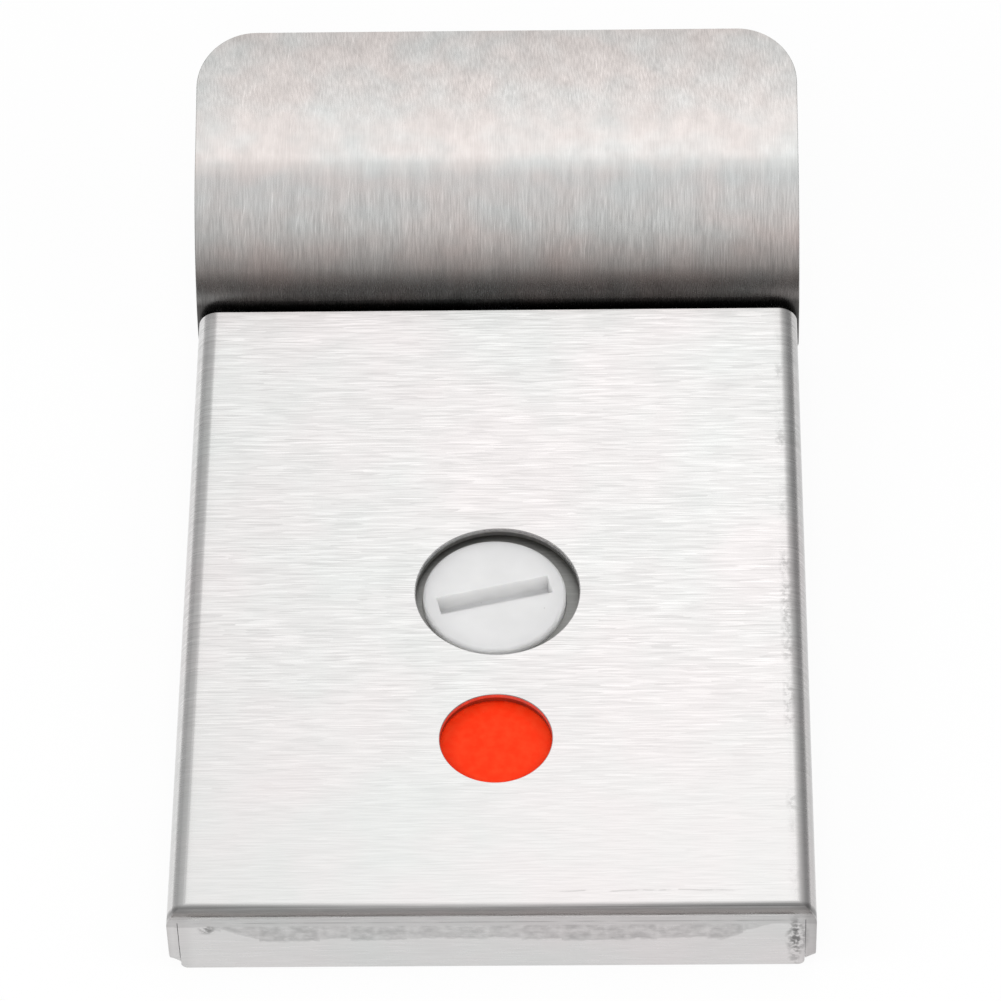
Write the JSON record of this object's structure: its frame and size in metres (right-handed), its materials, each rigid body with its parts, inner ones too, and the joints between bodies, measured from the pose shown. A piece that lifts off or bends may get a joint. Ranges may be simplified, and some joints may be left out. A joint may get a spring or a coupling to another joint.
{
  "type": "toilet indicator bolt",
  "caption": "Folded stainless outside plate of a toilet indicator bolt: coin release, indicator window over a turning red and green disc, and a curled finger pull at its rear edge.",
  "frame": {"origin": "where the coin release's axis meets the door's face, midway between the two through-door fixings", "axes": "+X to the right across the plate, +Y along the plate towards the finger pull, +Z out of the door along the release's axis"},
  "size_m": [0.0604, 0.1009, 0.0228],
  "materials": {
    "cover_steel": "brushed across the plate",
    "pull_steel": "brushed along the pull, dull polish at the tip",
    "zinc_steel": "bright zinc plate",
    "spring_steel": "oiled spring temper",
    "follower_steel": "sintered",
    "disc_steel": "mill finish",
    "rivet_aluminium": "plain",
    "white_nylon": "moulded satin",
    "acetal": "moulded satin",
    "red_vinyl": "matt print",
    "green_vinyl": "matt print"
  },
  "bodies": {
    "plate": {"cover": "cover_steel", "front_left_pillar": "zinc_steel", "front_right_pillar": "zinc_steel", "rear_left_pillar": "zinc_steel", "rear_right_pillar": "zinc_steel", "pull_plate": "pull_steel", "cover_screws": "zinc_steel", "front_fixing_nut": "zinc_steel", "rear_fixing_nut": "zinc_steel", "stop_pin": "zinc_steel", "pivot_bush": "acetal", "thrust_washer": "zinc_steel", "wave_washer": "spring_steel", "glide_washer": "acetal"},
    "release": {"release_turn": "white_nylon", "drive_follower": "follower_steel", "indicator_disc": "disc_steel", "disc_rivets": "rivet_aluminium", "engaged_label": "red_vinyl", "vacant_label": "green_vinyl"}
  },
  "joints": [
    {"name": "release_turn", "type": "hinge", "parent": "plate", "child": "release", "pos_m": [0, 0, 0], "axis": [0, 0, 1], "range_deg": [-14, 76]}
  ]
}
